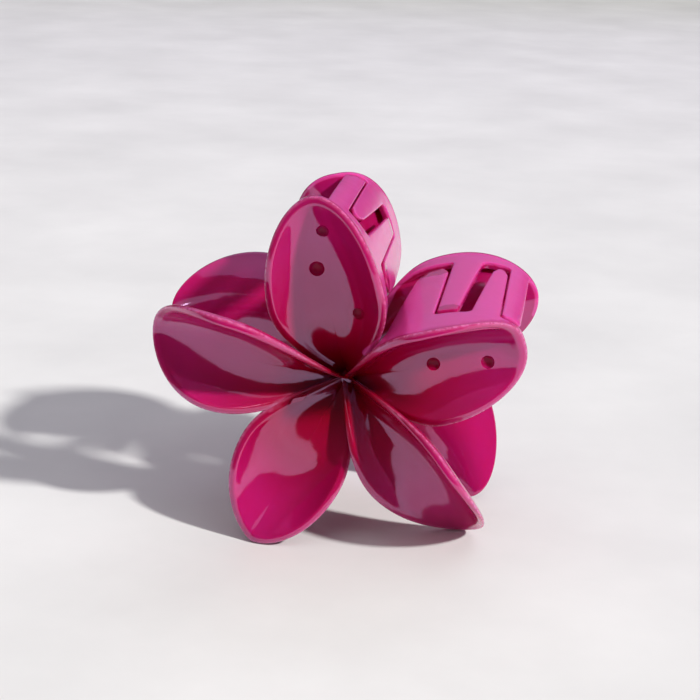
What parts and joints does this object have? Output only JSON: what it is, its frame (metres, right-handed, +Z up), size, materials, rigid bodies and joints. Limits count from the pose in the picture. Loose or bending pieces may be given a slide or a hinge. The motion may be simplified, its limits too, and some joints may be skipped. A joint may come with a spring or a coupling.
{
  "type": "flower hair claw clip",
  "caption": "Glossy claw clip of two five-petalled flower halves back to back on a sprung hinge, with interlocking teeth on two petals.",
  "frame": {"origin": "middle of the standing clip's footprint, on the surface it stands on", "axes": "+Z up as the clip stands on its handle petals and side petals; -Y is the way the front flower faces; the hinge pin runs along X, tipped down 30.4 degrees at the +X end"},
  "size_m": [0.0818, 0.0648, 0.0749],
  "materials": {
    "flower_plastic": "glossy, slightly translucent magenta",
    "steel": "bright drawn wire"
  },
  "bodies": {
    "front_half": {"front_flower_jaw": "flower_plastic", "hinge_pin": "steel", "torsion_spring": "steel"},
    "back_half": {"back_flower_jaw": "flower_plastic"}
  },
  "joints": [
    {"name": "jaw_hinge", "type": "hinge", "parent": "front_half", "child": "back_half", "pos_m": [-0.00217, 0, 0.02763], "axis": [-0.8625, 0, 0.506], "range_deg": [0, 60], "stiffness_Nm_per_rad": 0.08, "springref_deg": -68.75, "deforming": ["torsion_spring"]}
  ]
}
